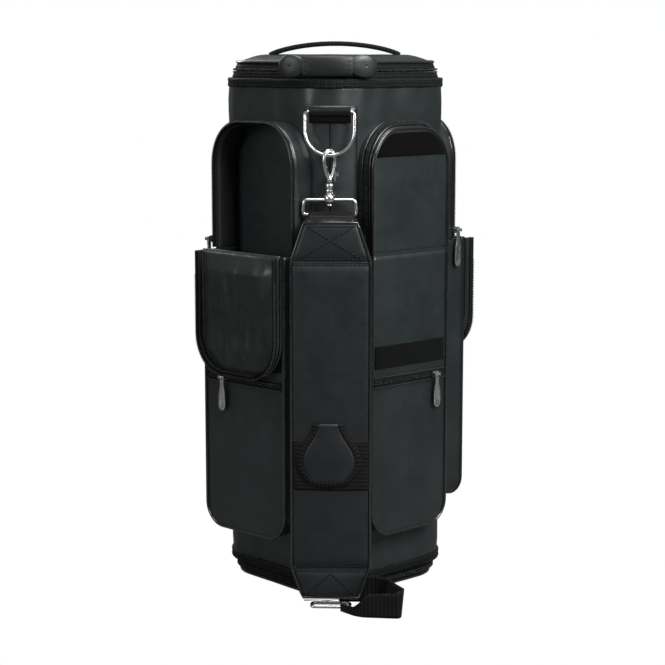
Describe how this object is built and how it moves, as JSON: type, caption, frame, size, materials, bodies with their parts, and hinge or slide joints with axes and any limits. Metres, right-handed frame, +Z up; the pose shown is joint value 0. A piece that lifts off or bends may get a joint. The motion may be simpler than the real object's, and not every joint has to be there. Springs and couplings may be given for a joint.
{
  "type": "drum stick bag",
  "caption": "Upright padded drum stick bag with hinged zip lids at both ends, outside zip pockets on its faces, carry handle and clip-on shoulder strap.",
  "frame": {"origin": "on the ground, at the centre of the bag's flat bottom", "axes": "+Z up along the bag, the shoulder strap hangs on the -Y side, +X to the right when facing the strap"},
  "size_m": [0.3153, 0.3511, 0.614],
  "materials": {
    "coated_fabric": "satin coated, near black",
    "webbing": "ribbed matt webbing, black",
    "piping": "glossy vinyl cord edge",
    "zip_tape": "woven zip tape with coil teeth",
    "hook_tape": "stiff hook tape",
    "loop_tape": "fuzzy loop tape",
    "board": "stiff board",
    "bright_metal": "bright nickel plate"
  },
  "bodies": {
    "bag": {"body_shell": "coated_fabric", "end_hems": "coated_fabric", "wall_stiffener": "board", "bindings": "webbing", "front_strip": "coated_fabric", "ring_tabs": "webbing", "front_left_pocket": "coated_fabric", "front_right_pocket": "coated_fabric", "back_right_pocket": "coated_fabric", "back_left_pocket": "coated_fabric", "pocket_piping": "piping", "loop_tapes": "loop_tape", "fixed_zip_tapes": "zip_tape"},
    "top_lid": {"top_lid": "coated_fabric", "top_lid_zip_tape": "zip_tape", "top_lid_piping": "piping", "carry_handle": "coated_fabric", "grab_strap": "webbing"},
    "bottom_lid": {"bottom_lid": "coated_fabric", "bottom_lid_zip_tape": "zip_tape", "bottom_lid_piping": "piping", "base_board": "board"},
    "top_zip_slider": {"top_zip_slider": "bright_metal"},
    "bottom_zip_slider": {"bottom_zip_slider": "bright_metal"},
    "upper_d_ring": {"upper_d_ring": "bright_metal"},
    "lower_d_ring": {"lower_d_ring": "bright_metal"},
    "strap_loop": {"strap_loop": "bright_metal"},
    "snap_hook": {"snap_hook": "bright_metal"},
    "hook_gate": {"hook_gate": "bright_metal"},
    "strap": {"shoulder_pad": "coated_fabric", "grip_patch": "webbing", "strap_webbing": "webbing", "adjuster_ring": "bright_metal"},
    "front_left_lid": {"front_left_lid": "coated_fabric", "front_left_lid_zip_tape": "zip_tape", "front_left_hook_tape": "hook_tape"},
    "front_left_lower_slider": {"front_left_lower_slider": "bright_metal"},
    "front_left_lower_pull": {"front_left_lower_pull": "bright_metal"},
    "front_left_arch_slider": {"front_left_arch_slider": "bright_metal"},
    "front_left_arch_pull": {"front_left_arch_pull": "bright_metal"},
    "front_right_lid": {"front_right_lid": "coated_fabric", "front_right_lid_zip_tape": "zip_tape", "front_right_hook_tape": "hook_tape"},
    "front_right_lower_slider": {"front_right_lower_slider": "bright_metal"},
    "front_right_lower_pull": {"front_right_lower_pull": "bright_metal"},
    "front_right_arch_slider": {"front_right_arch_slider": "bright_metal"},
    "front_right_arch_pull": {"front_right_arch_pull": "bright_metal"},
    "back_right_lid": {"back_right_lid": "coated_fabric", "back_right_lid_zip_tape": "zip_tape", "back_right_hook_tape": "hook_tape"},
    "back_right_lower_slider": {"back_right_lower_slider": "bright_metal"},
    "back_right_lower_pull": {"back_right_lower_pull": "bright_metal"},
    "back_right_arch_slider": {"back_right_arch_slider": "bright_metal"},
    "back_right_arch_pull": {"back_right_arch_pull": "bright_metal"},
    "back_left_lid": {"back_left_lid": "coated_fabric", "back_left_lid_zip_tape": "zip_tape", "back_left_hook_tape": "hook_tape"},
    "back_left_lower_slider": {"back_left_lower_slider": "bright_metal"},
    "back_left_lower_pull": {"back_left_lower_pull": "bright_metal"},
    "back_left_arch_slider": {"back_left_arch_slider": "bright_metal"},
    "back_left_arch_pull": {"back_left_arch_pull": "bright_metal"}
  },
  "joints": [
    {"name": "top_lid_hinge", "type": "hinge", "parent": "bag", "child": "top_lid", "pos_m": [0, 0.1148, 0.5849], "axis": [-1, 0, 0], "range_deg": [0, 110]},
    {"name": "bottom_lid_hinge", "type": "hinge", "parent": "bag", "child": "bottom_lid", "pos_m": [0, 0.1148, 0.0101], "axis": [1, 0, 0], "range_deg": [0, 110]},
    {"name": "top_zip_slide", "type": "slide", "parent": "bag", "child": "top_zip_slider", "axis": [-0.7071, -0.7071, 0], "range_m": [0, 0.02]},
    {"name": "bottom_zip_slide", "type": "slide", "parent": "bag", "child": "bottom_zip_slider", "axis": [-0.7071, -0.7071, 0], "range_m": [0, 0.02]},
    {"name": "front_left_lid_hinge", "type": "hinge", "parent": "bag", "child": "front_left_lid", "pos_m": [-0.09742, -0.11207, 0.38875], "axis": [-0.7547, 0.6561, 0], "range_deg": [0, 180]},
    {"name": "front_left_lower_zip_slide", "type": "slide", "parent": "bag", "child": "front_left_lower_slider", "axis": [0.7547, -0.6561, 0], "range_m": [-0.013, 0.073]},
    {"name": "front_left_lower_pull_swing", "type": "hinge", "parent": "front_left_lower_slider", "child": "front_left_lower_pull", "pos_m": [-0.12243, -0.09511, 0.247], "axis": [-0.7547, 0.6561, 0], "range_deg": [0, 80]},
    {"name": "front_left_arch_zip_slide", "type": "slide", "parent": "bag", "child": "front_left_arch_slider", "axis": [0, 0, 1], "range_m": [0, 0.075]},
    {"name": "front_left_arch_pull_swing", "type": "hinge", "parent": "front_left_arch_slider", "child": "front_left_arch_pull", "pos_m": [-0.13921, -0.05786, 0.399], "axis": [0.6561, 0.7547, 0], "range_deg": [0, 45]},
    {"name": "front_right_lid_hinge", "type": "hinge", "parent": "bag", "child": "front_right_lid", "pos_m": [0.08874, -0.08874, 0.38875], "axis": [0.7071, 0.7071, 0], "range_deg": [0, 180]},
    {"name": "front_right_lower_zip_slide", "type": "slide", "parent": "bag", "child": "front_right_lower_slider", "axis": [0.7071, 0.7071, 0], "range_m": [-0.077, 0.001]},
    {"name": "front_right_lower_pull_swing", "type": "hinge", "parent": "front_right_lower_slider", "child": "front_right_lower_pull", "pos_m": [0.11816, -0.06442, 0.247], "axis": [-0.7071, -0.7071, 0], "range_deg": [0, 80]},
    {"name": "front_right_arch_zip_slide", "type": "slide", "parent": "bag", "child": "front_right_arch_slider", "axis": [0, 0, 1], "range_m": [0, 0.075]},
    {"name": "front_right_arch_pull_swing", "type": "hinge", "parent": "front_right_arch_slider", "child": "front_right_arch_pull", "pos_m": [0.12452, -0.03528, 0.399], "axis": [0.7071, -0.7071, 0], "range_deg": [0, 45]},
    {"name": "back_right_lid_hinge", "type": "hinge", "parent": "bag", "child": "back_right_lid", "pos_m": [0.10713, 0.10713, 0.38875], "axis": [0.7071, -0.7071, 0], "range_deg": [0, 180]},
    {"name": "back_right_lower_zip_slide", "type": "slide", "parent": "bag", "child": "back_right_lower_slider", "axis": [-0.7071, 0.7071, 0], "range_m": [-0.063, 0.023]},
    {"name": "back_right_lower_pull_swing", "type": "hinge", "parent": "back_right_lower_slider", "child": "back_right_lower_pull", "pos_m": [0.09553, 0.12381, 0.247], "axis": [0.7071, -0.7071, 0], "range_deg": [0, 80]},
    {"name": "back_right_arch_zip_slide", "type": "slide", "parent": "bag", "child": "back_right_arch_slider", "axis": [0, 0, 1], "range_m": [0, 0.075]},
    {"name": "back_right_arch_pull_swing", "type": "hinge", "parent": "back_right_arch_slider", "child": "back_right_arch_pull", "pos_m": [0.14291, 0.04801, 0.399], "axis": [-0.7071, -0.7071, 0], "range_deg": [0, 45]},
    {"name": "back_left_lid_hinge", "type": "hinge", "parent": "bag", "child": "back_left_lid", "pos_m": [-0.08874, 0.08874, 0.38875], "axis": [-0.7071, -0.7071, 0], "range_deg": [0, 180]},
    {"name": "back_left_lower_zip_slide", "type": "slide", "parent": "bag", "child": "back_left_lower_slider", "axis": [-0.7071, -0.7071, 0], "range_m": [-0.019, 0.059]},
    {"name": "back_left_lower_pull_swing", "type": "hinge", "parent": "back_left_lower_slider", "child": "back_left_lower_pull", "pos_m": [-0.07715, 0.10543, 0.247], "axis": [0.7071, 0.7071, 0], "range_deg": [0, 80]},
    {"name": "back_left_arch_zip_slide", "type": "slide", "parent": "bag", "child": "back_left_arch_slider", "axis": [0, 0, 1], "range_m": [0, 0.075]},
    {"name": "back_left_arch_pull_swing", "type": "hinge", "parent": "back_left_arch_slider", "child": "back_left_arch_pull", "pos_m": [-0.03528, 0.12452, 0.399], "axis": [0.7071, -0.7071, 0], "range_deg": [0, 45]},
    {"name": "upper_ring_swing", "type": "hinge", "parent": "bag", "child": "upper_d_ring", "pos_m": [0, -0.127, 0.5425], "axis": [-1, 0, 0], "range_deg": [0, 60]},
    {"name": "strap_swing", "type": "hinge", "parent": "upper_d_ring", "child": "strap_loop", "pos_m": [0, -0.13347, 0.49645], "axis": [-1, 0, 0], "range_deg": [0, 12]},
    {"name": "hook_swivel", "type": "hinge", "parent": "strap_loop", "child": "snap_hook", "pos_m": [0, -0.1338, 0.451], "axis": [0, 0, 1], "range_deg": [0, 15]},
    {"name": "hook_gate_press", "type": "hinge", "parent": "snap_hook", "child": "hook_gate", "pos_m": [0.00437, -0.13014, 0.4695], "axis": [-0.6428, 0.766, 0], "range_deg": [0, 18], "stiffness_Nm_per_rad": 0.02},
    {"name": "pad_swing", "type": "hinge", "parent": "strap_loop", "child": "strap", "pos_m": [0, -0.1338, 0.433], "axis": [-1, 0, 0], "range_deg": [0, 40]},
    {"name": "lower_ring_swing", "type": "hinge", "parent": "bag", "child": "lower_d_ring", "pos_m": [0, -0.127, 0.092], "axis": [-1, 0, 0], "range_deg": [0, 12]}
  ]
}
